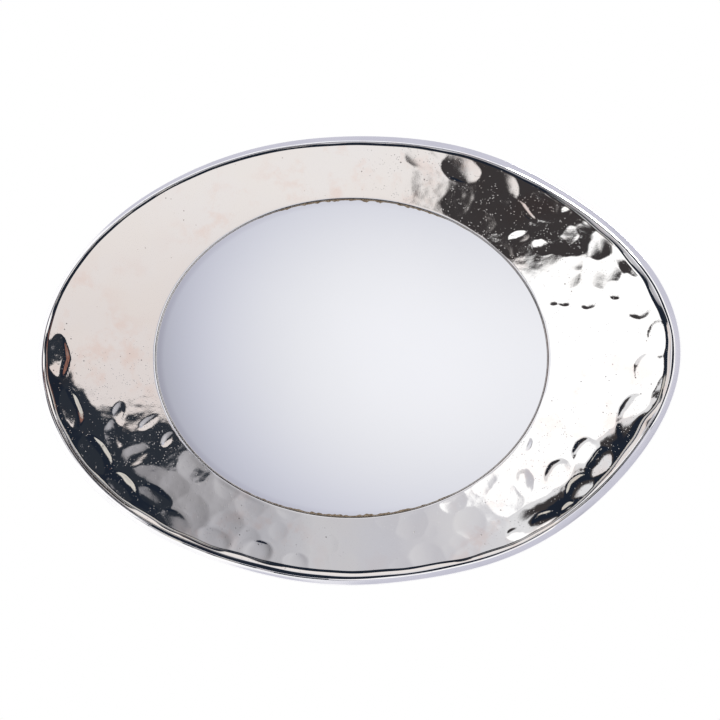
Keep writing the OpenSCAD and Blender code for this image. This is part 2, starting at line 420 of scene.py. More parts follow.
# Hard blows: angle of the station, share of the way in from the crease, length, width,
# turn from the rim's direction, depth, how flat the bottom is, and how one-sided the mark is
hammerBlows = [
    # left end and lower left
    (179, 0.13, 17.5, 8.5, 5, 0.6, 2.1, 0.4),
    (-166, 0.17, 16, 8.5, 0, 0.6, 2.1, 0.3),
    (-152, 0.17, 17.5, 11, 0, 0.7, 2.1, 0.3),
    (-142, 0.14, 14.5, 9.5, 0, 0.6, 2.1, 0.3),
    (-136, 0.30, 15, 8, 5, 0.34, 2.2, 0.38),
    (-128, 0.16, 13.5, 9, 5, 0.25, 3, 0.3),
    (-119, 0.15, 15, 10, 10, 0.25, 3, 0.3),
    (-110, 0.15, 12.5, 10, 10, 0.26, 3, 0.3),
    (-102, 0.12, 10, 8, 0, 0.16, 3, 0.3),
    (-162, 0.57, 10.5, 5.5, -35, 0.26, 2.2, 0.3),
    (-156, 0.43, 14, 7, -30, 0.28, 2.2, 0.3),
    (-149, 0.52, 15, 8, 80, 0.22, 2, 0.2),
    (-158, 0.8, 9.5, 3.4, -80, 0.12, 2.2, -0.35),
    (-151, 0.88, 7, 3.6, -70, 0.13, 2.2, -0.35),
    # lower right
    (-58, 0.12, 8, 5.5, -20, 0.24, 2.4, 0.3),
    (-52, 0.08, 14, 8, -10, 0.34, 2.2, 0.3),
    (-46, 0.05, 6.5, 3.5, -5, 0.24, 2, 0.3),
    (-40, 0.15, 13.5, 9, 0, 0.56, 2.1, 0.32),
    (-32, 0.17, 13.5, 9, 0, 0.56, 2.1, 0.32),
    (-30, 0.36, 12.5, 11, 10, 0.5, 2.4, 0.45),
    (-38, 0.45, 12.5, 10, 0, 0.44, 2.4, 0.45),
    (-32, 0.93, 7, 4, 10, 0.14, 2, 0.2),
    (-26, 0.81, 5, 3.5, -55, 0.14, 2, 0.2),
    (-44, 0.65, 11, 7.5, 65, 0.3, 2.2, 0.3),
    # right end
    (-18, 0.13, 20.5, 13, 8, 0.4, 3, 0.38),
    (-4, 0.16, 15, 12.5, 5, 0.3, 3, 0.38),
    (6, 0.08, 13.5, 10, 0, 0.3, 3, 0.38),
    (16, 0.18, 12.5, 12, 0, 0.32, 3, 0.38),
    (19, 0.56, 9.5, 8, 65, 0.2, 2.4, 0.38),
    (20, 0.76, 6.5, 6, 60, 0.15, 2.4, 0.38),
    (21, 0.86, 6.5, 6, 60, 0.15, 2.4, 0.38),
    (21, 0.30, 8.5, 7, 60, 0.16, 2.4, 0.38),
    # upper right
    (69, 0.23, 16, 10.5, -5, 0.36, 2, 0.36),
    (60, 0.19, 16, 10, -25, 0.38, 2, 0.36),
    (50, 0.16, 14.5, 12.5, 0, 0.38, 2, 0.36),
    (51, 0.38, 15, 3.5, -15, 0.2, 2, 0.2),
    (44, 0.71, 8.5, 5, 55, 0.22, 2, 0.3),
    (39, 0.60, 8, 6.5, 40, 0.2, 2, 0.3),
    (46, 0.08, 6, 4.5, 65, 0.2, 2, 0.3),
    (34, 0.16, 13.5, 10.5, -55, 0.26, 2, 0.3),
    (38, 0.26, 7.5, 2.5, -80, 0.14, 2, 0.2),
    (64, 0.60, 5, 4.5, 20, 0.12, 2, 0.3),
    (53, 0.80, 5, 4, 30, 0.1, 2, 0.3),
    (57, 0.52, 13, 11, 20, 0.16, 2.4, 0.3),
    (45, 0.42, 11, 8, 50, 0.14, 2.4, 0.3),
    (78, 0.19, 12, 8, -10, 0.14, 2, 0.3),
    (31, 0.5, 12, 7, 70, 0.1, 2.2, 0.3),
]

# Width of the bead round the oval: angle of the station, millimetres
beadWidths = [(-180, 1.5), (-165, 1.9), (-150, 2.1), (-135, 2.6), (-120, 2.9), (-105, 2.9), (-90, 2.6),
              (-75, 2.2), (-60, 1.8), (-48, 1.3), (-35, 2.1), (-22, 3.4), (-10, 1.9), (0, 3.0), (7, 1.7),
              (17, 2.7), (30, 2.2), (45, 1.6), (60, 1.1), (90, 0.9), (120, 0.9), (150, 0.9), (170, 1.2),
              (180, 1.5)]

# Zones beaten down towards the rim: middle angle, half the angle, width and depth in millimetres
slumps = [(-156, 32, 17, 1.6), (-37, 22, 14.5, 1.4), (-4, 26, 5, 0.32), (20, 16, 5, 0.32)]

# How ragged the surface is: middle angle, half the angle, share
raggedZones = [(-152, 42, 1.0), (-38, 28, 0.9), (0, 30, 0.35), (60, 34, 1.0), (36, 14, 0.35),
               (-95, 50, 0.25)]


def window(t, angle, half, power):  # 1 at an angle, 0 from half the angle away
    off = (np.degrees(t) - angle + 180) % 360 - 180
    return np.clip(1 - np.abs(off / half) ** power, 0, 1)


def beadWidth(t):
    angles, widths = zip(*beadWidths)
    total = 0
    for shift in (-4, -2, 0, 2, 4):
        total = total + np.interp((np.degrees(t) + shift + 180) % 360 - 180, angles, widths)
    return total / 5


def creaseInset(t):
    lively = np.clip((beadWidth(t) - 0.7) / 1.2, 0.35, 1) + 1.1 * window(t, 0, 38, 2)
    return flare(t) + beadWidth(t) + lively * wander(t, 4, (13, 19, 23, 31, 38), faceSheet["creaseWander"])


def beadRise(t):  # from the crease up to the crest
    return 0.1 + 0.06 * beadWidth(t)


def slump(t, gap, share):  # how far the beaten zones lie back
    total = np.zeros_like(t)
    inner = np.clip((1 - share) / 0.45, 0, 1)
    inner = inner * inner * (3 - 2 * inner)
    for angle, half, width, depth in slumps:
        opened = window(t, angle, half, 3)
        opened = opened * opened * (3 - 2 * opened)
        reach = width * (0.55 + 0.45 * opened) * (1 + wander(t, 31, (11, 17, 26), 0.14))
        total = total + depth * opened * (np.clip(1 - gap / reach, 0, 1) ** 1.5 - 0.12 * inner)
    return total


def faceHeight(t, share, gap):  # gap: millimetres from the crease
    shape = faceSheet
    width = 0.45 + 0.33 * beadWidth(t)
    drop = shape["beadTop"] + beadRise(t) - shape["rise"]
    cone = sheetFront + shape["rise"] * (1 - share) ** shape["crown"]
    return cone + drop * np.clip(1 - gap / width, 0, 1) ** shape["rollPower"] + slump(t, gap, share)


def facePoint(t, share, under=0.0):  # a line round the face at a share of the way in
    outer = rim(t, creaseInset(t))
    inner = hole(t, faceSheet["lipRound"] + 0.1)
    gap = share * np.linalg.norm(inner - outer, axis=-1)
    return at(outer + share * (inner - outer), faceHeight(t, share, gap) + under)


def beadSection(t):  # from the crease over the bead and down to the turned edge, then back inside
    shape = faceSheet
    edge = flare(t) + wander(t, 9, (6, 11, 17, 29), 0.07)
    crease = creaseInset(t)
    curl = np.clip(0.22 * beadWidth(t) + 0.15, 0.3, 0.75)
    slant = np.clip(0.22 * beadWidth(t) - 0.05, 0.08, 0.65) * (1 + wander(t, 23, (9, 14, 21, 33), 0.2))
    angle, half, wider = shape["darkSide"]
    slant = slant + wider * window(t, angle, half, 2)
    crest = edge + curl + slant
    top = sheetFront + shape["beadTop"] + slump(t, 0 * t, 0)
    rise = beadRise(t)
    parts = []
    for q in np.linspace(0.08, 1, 9):
        parts.append(at(rim(t, crease + q * (crest - crease)), top + rise * (1 - q) ** 1.3))
    for degrees in (12, 24, 38, 38.5, 52, 65, 78, 90):
        turn, past = math.radians(degrees), float(degrees > 38)
        back = shape["crestHeight"] * (1 - math.cos(turn)) + past * shape["slantFall"] * slant
        parts.append(at(rim(t, crest - curl * math.sin(turn) - past * slant), top + back))
    lean = 0.6 * (flare(t) + 0.5) / 4.95
    under = [(edge - lean, shape["edgeDrop"]), (edge + 0.66 - lean, shape["edgeDrop"]), (edge + 0.7, 1.05),
             (crest, 0.75), (crease, rise + shape["thickness"])]
    return parts + [at(rim(t, inset), top + back) for inset, back in under]


def blowPoints():  # one point for each hard blow, with its sizes as attributes
    places, turns, sizes, leans = [], [], [], []
    for angle, share, length, width, turn, depth, flat, lean in hammerBlows:
        t = np.array([math.radians(angle)])
        places.append(facePoint(t, share)[0] * mm)
        n = outward(t)[0]
        along = math.atan2(n[0], -n[1]) + math.radians(turn)
        turns.append((math.cos(along), math.sin(along), flat))
        sizes.append((length / 2 * mm, width / 2 * mm, depth * mm))
        leans.append((-n[0], -n[1], lean))
    mesh = bpy.data.meshes.new("blows")
    mesh.from_pydata([tuple(p) for p in places], [], [])
    for name, values in (("turn", turns), ("size", sizes), ("lean", leans)):
        layer = mesh.attributes.new(name, "FLOAT_VECTOR", "POINT")
        layer.data.foreach_set("vector", np.array(values, np.float32).ravel())
    return bpy.data.objects.new("blows", mesh)


def hammeringTree():
    bench, given = treeFor("hammering", {
        "Blows": "Object", "Blow Depth": "Float", "Planish Cell": "Float", "Planish Depth": "Float",
        "Uneven": "Float", "Ragged": "Float", "Wobble": "Float", "Seed": "Float", "Material": "Material"})
    place = bench.add("GeometryNodeInputPosition")
    flat = bench.scaled(place, (1, 0, 1))

    def stored(name, kind="FLOAT"):
        return bench.add("GeometryNodeInputNamedAttribute", {"data_type": kind}, {"Name": name})

    # shallow bowls side by side, each ending where the next begins
    spread = bench.add("ShaderNodeVectorMath", {"operation": "SCALE"},
                       {0: flat, "Scale": 1 / given["Planish Cell"]})
    cell = bench.add("ShaderNodeTexVoronoi", {"voronoi_dimensions": "4D", "feature": "F1"},
                     {"Vector": spread, "W": given["Seed"], "Scale": 1.0, "Randomness": 0.85})
    bowl = (1 - (cell * 1.45) ** 2.0).high(0.0)
    swell = bench.clouds(flat, 38.0, 1.0) - 0.5
    rags = bench.clouds(flat, 150.0, 3.0, 0.55) - 0.5
    dent = bowl * given["Planish Depth"] * stored("planish") + swell * given["Uneven"]
    dent = dent + rags * given["Ragged"] * stored("ragged")
    started = bench.add("GeometryNodeStoreNamedAttribute", {"data_type": "FLOAT", "domain": "POINT"},
                        {"Geometry": given["Geometry"], "Name": "dent", "Value": dent})

    # one pass for each hard blow: the deeper mark wins, so that marks cut into each other
    blows = bench.add("GeometryNodeObjectInfo", {}, {"Object": given["Blows"]}, out="Geometry")
    count = bench.add("GeometryNodeAttributeDomainSize", {"component": "MESH"}, {"Geometry": blows})
    first = bench.tree.nodes.new("GeometryNodeRepeatInput")
    last = bench.tree.nodes.new("GeometryNodeRepeatOutput")
    first.pair_with_output(last)
    bench.tree.links.new(count.socket, first.inputs["Iterations"])
    bench.tree.links.new(started.socket, first.inputs["Geometry"])
    turnNow = Wire(bench, first.outputs["Iteration"])

    def sampled(field, kind="FLOAT_VECTOR"):
        value = bench.add("GeometryNodeSampleIndex", {"data_type": kind, "domain": "POINT"},
                          {"Geometry": blows, "Value": field, "Index": turnNow})
        return bench.split(value)

    shaken = bench.split(bench.clouds(flat, 170.0, 1.0).other("Color"))
    here = bench.split(place)
    centre = sampled(place)
    turn = sampled(stored("turn", "FLOAT_VECTOR"))
    size = sampled(stored("size", "FLOAT_VECTOR"))
    lean = sampled(stored("lean", "FLOAT_VECTOR"))
    dx = here - centre + (shaken - 0.5) * given["Wobble"]
    dz = here.other("Z") - centre.other("Z") + (shaken.other("Y") - 0.5) * given["Wobble"]
    along = (dx * turn + dz * turn.other("Y")) / size
    across = (dz * turn - dx * turn.other("Y")) / size.other("Y")
    away = (along * along + across * across).math("SQRT")
    inner = ((dx * lean + dz * lean.other("Y")) / size.other("Y")).high(-1.0).low(1.0)
    onesided = 1 - lean.other("Z") * (1 - inner)
    deep = (1 - away ** turn.other("Z")) * size.other("Z") * given["Blow Depth"] * onesided
    lipUp = (1 - (away - 1.06).math("ABSOLUTE") * 7.0).high(0.0) * size.other("Z") * -0.05
    struck = stored("dent").math("SMOOTH_MAX", deep, 0.00005) + lipUp
    marked = bench.add("GeometryNodeStoreNamedAttribute", {"data_type": "FLOAT", "domain": "POINT"},
                       {"Geometry": Wire(bench, first.outputs["Geometry"]), "Name": "dent",
                        "Value": struck})
    bench.tree.links.new(marked.socket, last.inputs["Geometry"])

    push = stored("dent") * stored("give")
    done = bench.add("GeometryNodeSetPosition", {}, {
        "Geometry": Wire(bench, last.outputs["Geometry"]),
        "Offset": bench.add("ShaderNodeCombineXYZ", {}, {"Y": push})})
    closeTree(bench, done, given["Material"])
    return bench.tree


def hammeredSilver(bench, place):
    ragged = bench.add("ShaderNodeAttribute", {"attribute_name": "ragged"}, out="Fac")
    fine = bench.clouds(place, 2300.0, 3.0, 0.65)
    grain = bench.clouds(place, 800.0, 2.0, 0.6)
    patch = bench.clouds(place, 60.0, 2.0).rise(0.42, 0.62)
    pits = bench.cells(place, 330.0)
    pit = (1 - pits.rise(0.03, 0.12)) * bench.clouds(place, 120.0).rise(0.52, 0.6)
    speck = (1 - bench.cells(place, 1050.0).rise(0.04, 0.22)) * bench.clouds(place, 300.0).rise(0.42, 0.62)
    height = (fine * 0.34 + grain * 0.16) * (0.4 + ragged * 1.1) - pit * 2.2 + speck * (0.3 + ragged * 3.0)
    tint = bench.clouds(place, 34.0, 3.0)
    colour = bench.blend(tint.rise(0.35, 0.68), (0.90, 0.888, 0.88), (0.895, 0.895, 0.905))
    stain = bench.clouds(place, 95.0, 4.0, 0.6).rise(0.48, 0.68)
    stain = stain * bench.clouds(place, 17.0).rise(0.38, 0.62)
    colour = bench.blend(stain, colour, (0.88, 0.80, 0.775))
    colour = bench.blend(pit * 0.6, colour, (0.34, 0.28, 0.24))
    return {"Base Color": colour, "Roughness": 0.028 + patch * 0.022 + pit * 0.3,
            "Normal": bench.relief(height, 0.00001)}


silverSheet = newMaterial("hammeredSilver", hammeredSilver, {"Metallic": 1.0})


def makeFace():
    shape = faceSheet
    t = stations(shape["stations"])
    parts, give = [], []

    def put(points, amount):
        parts.append(points)
        give.append(np.broadcast_to(np.asarray(amount, float), t.shape))

    def sheet(share, under):  # the marks fade out at the crease and the lip
        put(facePoint(t, share, under), min(1.0, share / 0.05) * min(1.0, 0.25 + (1 - share) / 0.08))

    thick = shape["thickness"]
    bend = shape["lipRound"]
    lipEnd = glassFront - shape["lipGap"]
    put(at(hole(t, 0), lipEnd), 0)
    put(at(hole(t, 0), sheetFront + 1.4), 0)
    for turn in np.radians(np.linspace(0, 72, 5)):
        grow, back = bend * (1 - math.cos(turn)), bend * (1 - math.sin(turn))
        put(at(hole(t, grow), sheetFront + back), 0.1 * math.sin(turn))
    for share in 1 - np.linspace(0, 1, shape["acrossFront"]) ** 0.94:
        sheet(share, 0.0)
    for part in beadSection(t):
        put(part, 0)
    for share in np.linspace(0.03, 0.97, shape["acrossBack"]):
        sheet(share, thick)
    put(at(hole(t, thick), sheetFront + thick + 0.4), 0)
    put(at(hole(t, thick), lipEnd), 0)

    piece = sweepRing("hammeredFace", np.stack(parts, 1))
    calm = np.clip((np.cos(t - math.radians(shape["planishCalm"])) - 0.1) / 0.5, 0, 1)
    ragged = np.clip(sum(size * window(t, middle, half, 2) for middle, half, size in raggedZones), 0, 1)
    values = {"give": np.stack(give, 1), "planish": np.repeat(1 - 0.88 * calm[:, None], len(parts), 1),
              "ragged": np.repeat(ragged[:, None], len(parts), 1)}
    for name, value in values.items():
        layer = piece.data.attributes.new(name, "FLOAT", "POINT")
        layer.data.foreach_set("value", value.astype(np.float32).ravel())
    blows = blowPoints()
    bpy.context.scene.collection.objects.link(blows)
    runTree(piece, hammeringTree(), {
        "Blows": blows, "Blow Depth": shape["blowDepth"], "Planish Cell": shape["planishCell"] * mm,
        "Planish Depth": shape["planishDepth"] * mm, "Uneven": shape["uneven"] * mm,
        "Ragged": shape["ragged"] * mm, "Wobble": shape["wobble"] * mm, "Seed": shape["seed"],
        "Material": silverSheet})
    bpy.data.objects.remove(blows)
    piece.data.set_sharp_from_angle(angle=math.radians(50))
    finishPiece(piece, "hammered_silver", "hammered_face")


makeFace()

# The side band, in millimetres: the corner is where it turns into the hem
bandStrip = {"stations": 480, "thickness": 0.8, "hem": 6.0, "corner": 1.3, "edge": 0.28, "hollow": 0.1,
             "waver": 0.08}


def bandSilver(bench, place):
    rub = bench.clouds(bench.scaled(place, (60.0, 2600.0, 60.0)), 1.0, 2.0, 0.5)
    stain = bench.clouds(place, 90.0, 3.0)
    colour = bench.blend(stain.rise(0.4, 0.7), (0.90, 0.89, 0.90), (0.86, 0.855, 0.87))
    return {"Base Color": colour, "Roughness": 0.08 + rub * 0.07,
            "Normal": bench.relief(rub, 0.00001, 0.4)}


def makeBand():
    shape = bandStrip
    t = stations(shape["stations"])
    front, hemY = bandFront, bandBack
    thick, corner, edge = shape["thickness"], shape["corner"], shape["edge"]
    top = flare(t) + 0.75
    wave = wander(t, 21, (4, 7, 12, 18), shape["waver"])
    parts = [at(rim(t, top + 0.12), front + 0.03), at(rim(t, top), front + 0.12)]
    for q in np.linspace(0.1, 1, 10):
        inset = top * (1 - q) + edge * q + (wave + shape["hollow"]) * math.sin(math.pi * q)
        parts.append(at(rim(t, inset), front + q * (hemY - corner - front)))
    for turn in np.radians(np.linspace(12, 90, 7)):
        inset = edge * (1 - math.sin(2 * turn)) + corner * (1 - math.cos(turn))
        parts.append(at(rim(t, inset), hemY - corner * (1 - math.sin(turn))))
    hem = shape["hem"] + wander(t, 5, (8, 13, 21), 0.16)
    for inset, y in [
            (hem - 1.5, hemY - 0.02), (hem - 0.3, hemY), (hem - 0.06, hemY - 0.12), (hem, hemY - thick / 2),
            (hem - 0.1, hemY - thick), (corner + 0.6, hemY - thick), (thick + 0.55, hemY - corner - 0.3),
            ((top + 0.3) / 2 + thick, (front + hemY - corner) / 2), (top + thick, front + 0.05)]:
        parts.append(at(rim(t, inset), y))
    piece = sweepRing("sideBand", np.stack(parts, 1))
    paint(piece, newMaterial("bandSilver", bandSilver, {"Metallic": 1.0}))
    finishPiece(piece, "band_silver", "side_band")


makeBand()

# The glass, in millimetres
glassPane = {"stations": 240, "overlap": 4.0, "bevel": 0.5, "rings": 14}


def mirrorSilver(bench, place):
    split = bench.split(place)
    # painted shade: the glass is made darker close to the lip, most at the left, for the lip's shade
    # falling on it
    x = (split / mm - opening["x"]) / (opening["width"] / 2)
    z = (split.other("Z") / mm - oval["middleZ"] - opening["z"]) / (opening["height"] / 2)
    reach = (x * x + z * z).math("SQRT")
    edge = reach.rise(0.955, 0.985) * (0.35 - x * 0.65).high(0.0).low(1.0)
    haze = bench.clouds(place, 18.0, 3.0).rise(0.3, 0.75)
    clear = bench.blend(haze, (0.955, 0.958, 0.965), (0.94, 0.945, 0.952))
    # the painted shade from the lip is mixed into the glass colour here
    colour = bench.blend(edge * 0.8, clear, (0.80, 0.79, 0.82))
    smear = bench.clouds(place, 240.0, 3.0)
    return {"Base Color": colour, "Roughness": 0.012 + haze * 0.012,
            "Normal": bench.relief(smear, 0.000001, 0.2)}


def makeGlass():
    shape = glassPane
    t = stations(shape["stations"])
    grow, cut = shape["overlap"], shape["bevel"]
    middle = np.array([opening["x"], oval["middleZ"] + opening["z"]])
    inner = hole(t, grow - cut)
    shares = np.linspace(0, 1, shape["rings"] + 1)[1:]
    sections = [at(middle + share * (inner - middle), glassFront) for share in shares]
    sections += [at(hole(t, grow), glassFront + cut), at(hole(t, grow), glassBack - cut)]
    sections += [at(middle + share * (inner - middle), glassBack) for share in shares[::-1]]
    piece = closedPane("mirrorGlass", sections, middle, (glassFront, glassBack))
    paint(piece, newMaterial("mirrorSilver", mirrorSilver, {"Metallic": 1.0}))
    finishPiece(piece, "mirror_glass", "mirror_glass")


# The putty, in millimetres: "under" is how far it goes in behind the lip
puttyBead = {"stations": 720, "height": 0.7, "crumbs": 0.55, "under": 1.1}


def oldPutty(bench, place):
    lumps = bench.clouds(place, 1400.0, 4.0, 0.6)
    spots = bench.cells(place, 900.0)
    colour = bench.ramp(lumps * 0.7 + spots * 0.4, (0.25, (0.10, 0.066, 0.038)),
                        (0.5, (0.27, 0.20, 0.135)), (0.8, (0.46, 0.38, 0.29)))
    return {"Base Color": colour, "Roughness": 0.7 + lumps * 0.25,
            "Normal": bench.relief(lumps + spots * 0.5, 0.00012, 0.8)}


def makePutty():
    shape = puttyBead
    t = stations(shape["stations"])
    rough = []
    for a in t:
        spot = Vector((math.cos(a), math.sin(a), 0.3))
        rough.append((noise.noise(spot * 9.0), noise.noise(spot * 41.0), noise.noise(spot * 97.0)))
    rough = np.array(rough)
    # crumbs have squeezed out at the top and the bottom; elsewhere it was wiped away
    messy = np.clip(np.abs(np.sin(t)) ** 10 * 1.1 + 0.5 * rough[:, 0] * np.sin(t) ** 4 - 0.05, 0, 1)
    lump = shape["crumbs"] * messy * np.clip(rough[:, 1] * 1.6 + rough[:, 2] * 0.8 + 0.35, 0, 1.3)
    reach = -(0.05 + 0.35 * messy + lump)
    tall = shape["height"] * (0.8 + 0.2 * rough[:, 1])
    section = [(reach, 0.01), (reach * 0.93, 0.16 * tall), (reach * 0.6, 0.6 * tall),
               (reach * 0.22, 0.92 * tall), (-0.03, tall), (-0.03, 0.06), (shape["under"], 0.06),
               (shape["under"], 0.01)]
    loops = np.stack([at(hole(t, grow), glassFront - out) for grow, out in section], 1)
    piece = sweepRing("glazingPutty", loops, 60)
    paint(piece, newMaterial("oldPutty", oldPutty))
    finishPiece(piece, "putty", "glazing_putty")


makeGlass()
makePutty()


def cedarCore(bench, place):
    rings = bench.add("ShaderNodeTexWave", {"bands_direction": "Z", "wave_profile": "SAW"},
                      {"Vector": bench.scaled(place, (14.0, 60.0, 150.0)), "Scale": 1.0, "Distortion": 3.5,
                       "Detail": 3.0, "Detail Scale": 1.2}, out="Fac")
    fibre = bench.clouds(bench.scaled(place, (40.0, 1600.0, 1600.0)), 1.0, 3.0)
    colour = bench.ramp(rings * 0.6 + fibre * 0.4, (0.1, (0.20, 0.105, 0.05)),
                        (0.5, (0.36, 0.21, 0.11)), (0.9, (0.47, 0.30, 0.17)))
    return {"Base Color": colour, "Roughness": 0.55 + fibre * 0.3,
            "Normal": bench.relief(fibre, 0.0001, 0.6)}


def boardWood(bench, place):  # brown hardboard, smooth side out
    flecks = bench.clouds(place, 850.0, 4.0, 0.65)
    strands = bench.clouds(bench.scaled(place, (420.0, 420.0, 1300.0)), 1.0, 3.0, 0.6)
    stain = bench.clouds(place, 15.0, 3.0)
    spot = 1 - bench.cells(place, 360.0).rise(0.06, 0.2)
    colour = bench.ramp(flecks * 0.38 + strands * 0.3 + stain * 0.32, (0.32, (0.135, 0.076, 0.040)),
                        (0.5, (0.215, 0.130, 0.072)), (0.7, (0.305, 0.200, 0.118)))
    colour = bench.blend(spot * 0.45, colour, (0.09, 0.048, 0.025))
    return {"Base Color": colour, "Roughness": 0.42 + flecks * 0.25,
            "Normal": bench.relief(strands, 0.00005, 0.6)}


def padFelt(bench, place):
    hairs = bench.clouds(place, 1500.0, 4.0, 0.7)
    colour = bench.blend(hairs.rise(0.3, 0.7), (0.045, 0.043, 0.042), (0.13, 0.125, 0.12))
    return {"Base Color": colour, "Roughness": 0.9 + hairs * 0.1,
            "Normal": bench.relief(hairs, 0.0003, 0.8)}


# The back board, in millimetres
board = {"inset": 8.5, "stations": 360, "round": 0.7, "rings": 10}


def makeBoard():
    t = stations(board["stations"])
    edge, soft = board["inset"], board["round"]
    middle = np.array([0.0, oval["middleZ"]])
    inner = rim(t, edge + soft)
    shares = np.linspace(0, 1, board["rings"] + 1)[1:]
    sections = [at(middle + share * (inner - middle), boardBack) for share in shares]
    for turn in np.radians((30, 60, 90)):
        grow = soft * (1 - math.sin(turn))
        sections.append(at(rim(t, edge + grow), boardBack - soft * (1 - math.cos(turn))))
    sections += [at(rim(t, edge), boardFront + 0.2), at(rim(t, edge + 0.2), boardFront)]
    sections += [at(middle + share * (inner - middle), boardFront) for share in shares[::-1]]
    piece = closedPane("backBoard", sections, middle, (boardBack, boardFront))
    paint(piece, newMaterial("boardWood", boardWood))
    finishPiece(piece, "board_wood", "back_board")


makeBoard()
paint(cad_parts["wood_core"], newMaterial("cedarCore", cedarCore))
paint(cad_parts["backing_pad"], newMaterial("padFelt", padFelt))

# Tacks and screws, in millimetres: radii of head and shank, height of the head, length of the shank
fixings = {
    "tack": {"head": 1.9, "height": 0.7, "shank": 0.6, "length": 4.0},
    "boardScrew": {"head": 2.6, "height": 1.3, "shank": 1.2, "length": 7.5},
    "strapScrew": {"head": 2.4, "height": 1.2, "shank": 1.3, "length": 8.0},
    "tackInset": 3.72,
    "boardScrewInset": 14.0,
    "slotWidth": 0.6,
    "slotDepth": 0.7,
}


def nailProfile(size, thread):  # (radius, height), the head at the back
    head, height, shank, length = (size[k] for k in ("head", "height", "shank", "length"))
    dome = [(0, -height)]
    for turn in np.radians(np.linspace(14, 84, 6)):
        dome.append((head * math.sin(turn), -height * (0.12 + 0.88 * math.cos(turn))))
    dome += [(head, -0.05), (head - 0.08, 0), (shank * 1.15, 0.02), (shank, 0.3)]
    if thread:
        for k in range(int((length - 2.6) / 0.8)):
            z = 1.0 + 0.8 * k
            dome += [(shank, z), (shank * 0.8, z + 0.35), (shank * 0.8, z + 0.5)]
    return dome + [(shank * 0.95, length - shank * 2), (0, length)]


def fixingModel(name, size, slotted):
    model = newPiece(name, lathe(name, nailProfile(size, slotted), 28))
    if slotted:
        cutter = newPiece("slotCutter", bpy.data.meshes.new("slotCutter"))
        w, d, h = fixings["slotWidth"] / 2 * mm, fixings["slotDepth"] * mm, size["height"] * mm
        reach = size["head"] * 1.3 * mm
        corners = [(x, y, z) for x in (-reach, reach) for y in (-w, w) for z in (-h - 2 * mm, -h + d)]
        sides = [(0, 1, 3, 2), (4, 6, 7, 5), (0, 4, 5, 1), (2, 3, 7, 6), (0, 2, 6, 4), (1, 5, 7, 3)]
        cutter.data.from_pydata(corners, [], sides)
        cut = model.modifiers.new("slot", "BOOLEAN")
        cut.object = cutter
        cut.solver = "EXACT"
        mesh = applied(model)
        mesh.shade_smooth()
        mesh.set_sharp_from_angle(angle=math.radians(30))
        bpy.data.objects.remove(cutter)
    return model


def fixingTree():
    bench, given = treeFor("drivenIn", {
        "Fixing": "Object", "Tilt": "Float", "Turn": "Float", "Seed": "Int", "Material": "Material"})
    model = bench.add("GeometryNodeObjectInfo", {}, {"Object": given["Fixing"]}, out="Geometry")

    def dice(low, high, shift):
        return bench.add("FunctionNodeRandomValue", {"data_type": "FLOAT"},
                         {2: low, 3: high, "Seed": given["Seed"] + shift}, out=1)

    def rotation(angles):
        turns = bench.add("ShaderNodeCombineXYZ", {}, angles)
        return bench.add("FunctionNodeEulerToRotation", {}, {0: turns})

    spin = dice(-1.0, 1.0, 0) * given["Turn"]
    # the model stands along +Z: laid down so that it points from the back to the front
    laid = rotation({"X": math.pi / 2 + dice(-1.0, 1.0, 1) * given["Tilt"],
                     "Z": dice(-1.0, 1.0, 2) * given["Tilt"]})
    both = bench.add("FunctionNodeRotateRotation", {"rotation_space": "LOCAL"},
                     {0: laid, 1: rotation({"Z": spin})})
    placed = bench.add("GeometryNodeInstanceOnPoints", {}, {
        "Points": given["Geometry"], "Instance": model, "Rotation": both})
    closeTree(bench, placed, given["Material"])
    return bench.tree


def driveIn(name, places, model, material, slot, node, tilt, turn, seed):
    mesh = bpy.data.meshes.new(name)
    mesh.from_pydata([tuple(np.asarray(p) * mm) for p in places], [], [])
    piece = newPiece(name, mesh)
    runTree(piece, driving, {"Fixing": model, "Tilt": math.radians(tilt), "Turn": math.radians(turn),
                             "Seed": seed, "Material": material})
    bpy.data.objects.remove(model)
    finishPiece(piece, slot, node)


def tackSteel(bench, place):
    wear = bench.clouds(place, 700.0, 4.0, 0.65)
    rust = bench.clouds(place, 260.0, 3.0).rise(0.56, 0.68)
    colour = bench.blend(wear.rise(0.35, 0.7), (0.55, 0.53, 0.50), (0.76, 0.74, 0.71))
    colour = bench.blend(rust * 0.7, colour, (0.26, 0.13, 0.065))
    return {"Base Color": colour, "Roughness": 0.28 + wear * 0.2 + rust * 0.3, "Metallic": 1 - rust * 0.7,
            "Normal": bench.relief(wear, 0.00005, 0.6)}


def screwBrass(bench, place):
    scratch = bench.clouds(bench.scaled(place, (1.0, 1.0, 6.0)), 900.0, 3.0, 0.6)
    dull = bench.clouds(place, 420.0, 3.0).rise(0.4, 0.7)
    colour = bench.blend(dull, (0.80, 0.60, 0.29), (0.52, 0.37, 0.17))
    return {"Base Color": colour, "Roughness": 0.22 + scratch * 0.15 + dull * 0.2,
            "Normal": bench.relief(scratch, 0.00004, 0.5)}


def hangerSteel(bench, place):
    draw = bench.clouds(bench.scaled(place, (1.0, 1.0, 0.25)), 1600.0, 3.0, 0.6)
    bloom = bench.clouds(place, 300.0, 3.0)
    colour = bench.blend(bloom.rise(0.35, 0.7), (0.74, 0.73, 0.71), (0.62, 0.61, 0.60))
    return {"Base Color": colour, "Roughness": 0.24 + draw * 0.12 + bloom * 0.1,
            "Normal": bench.relief(draw, 0.00003, 0.5)}


driving = fixingTree()
steelTack = newMaterial("tackSteel", tackSteel)
brass = newMaterial("screwBrass", screwBrass, {"Metallic": 1.0})
steelHanger = newMaterial("hangerSteel", hangerSteel, {"Metallic": 1.0})

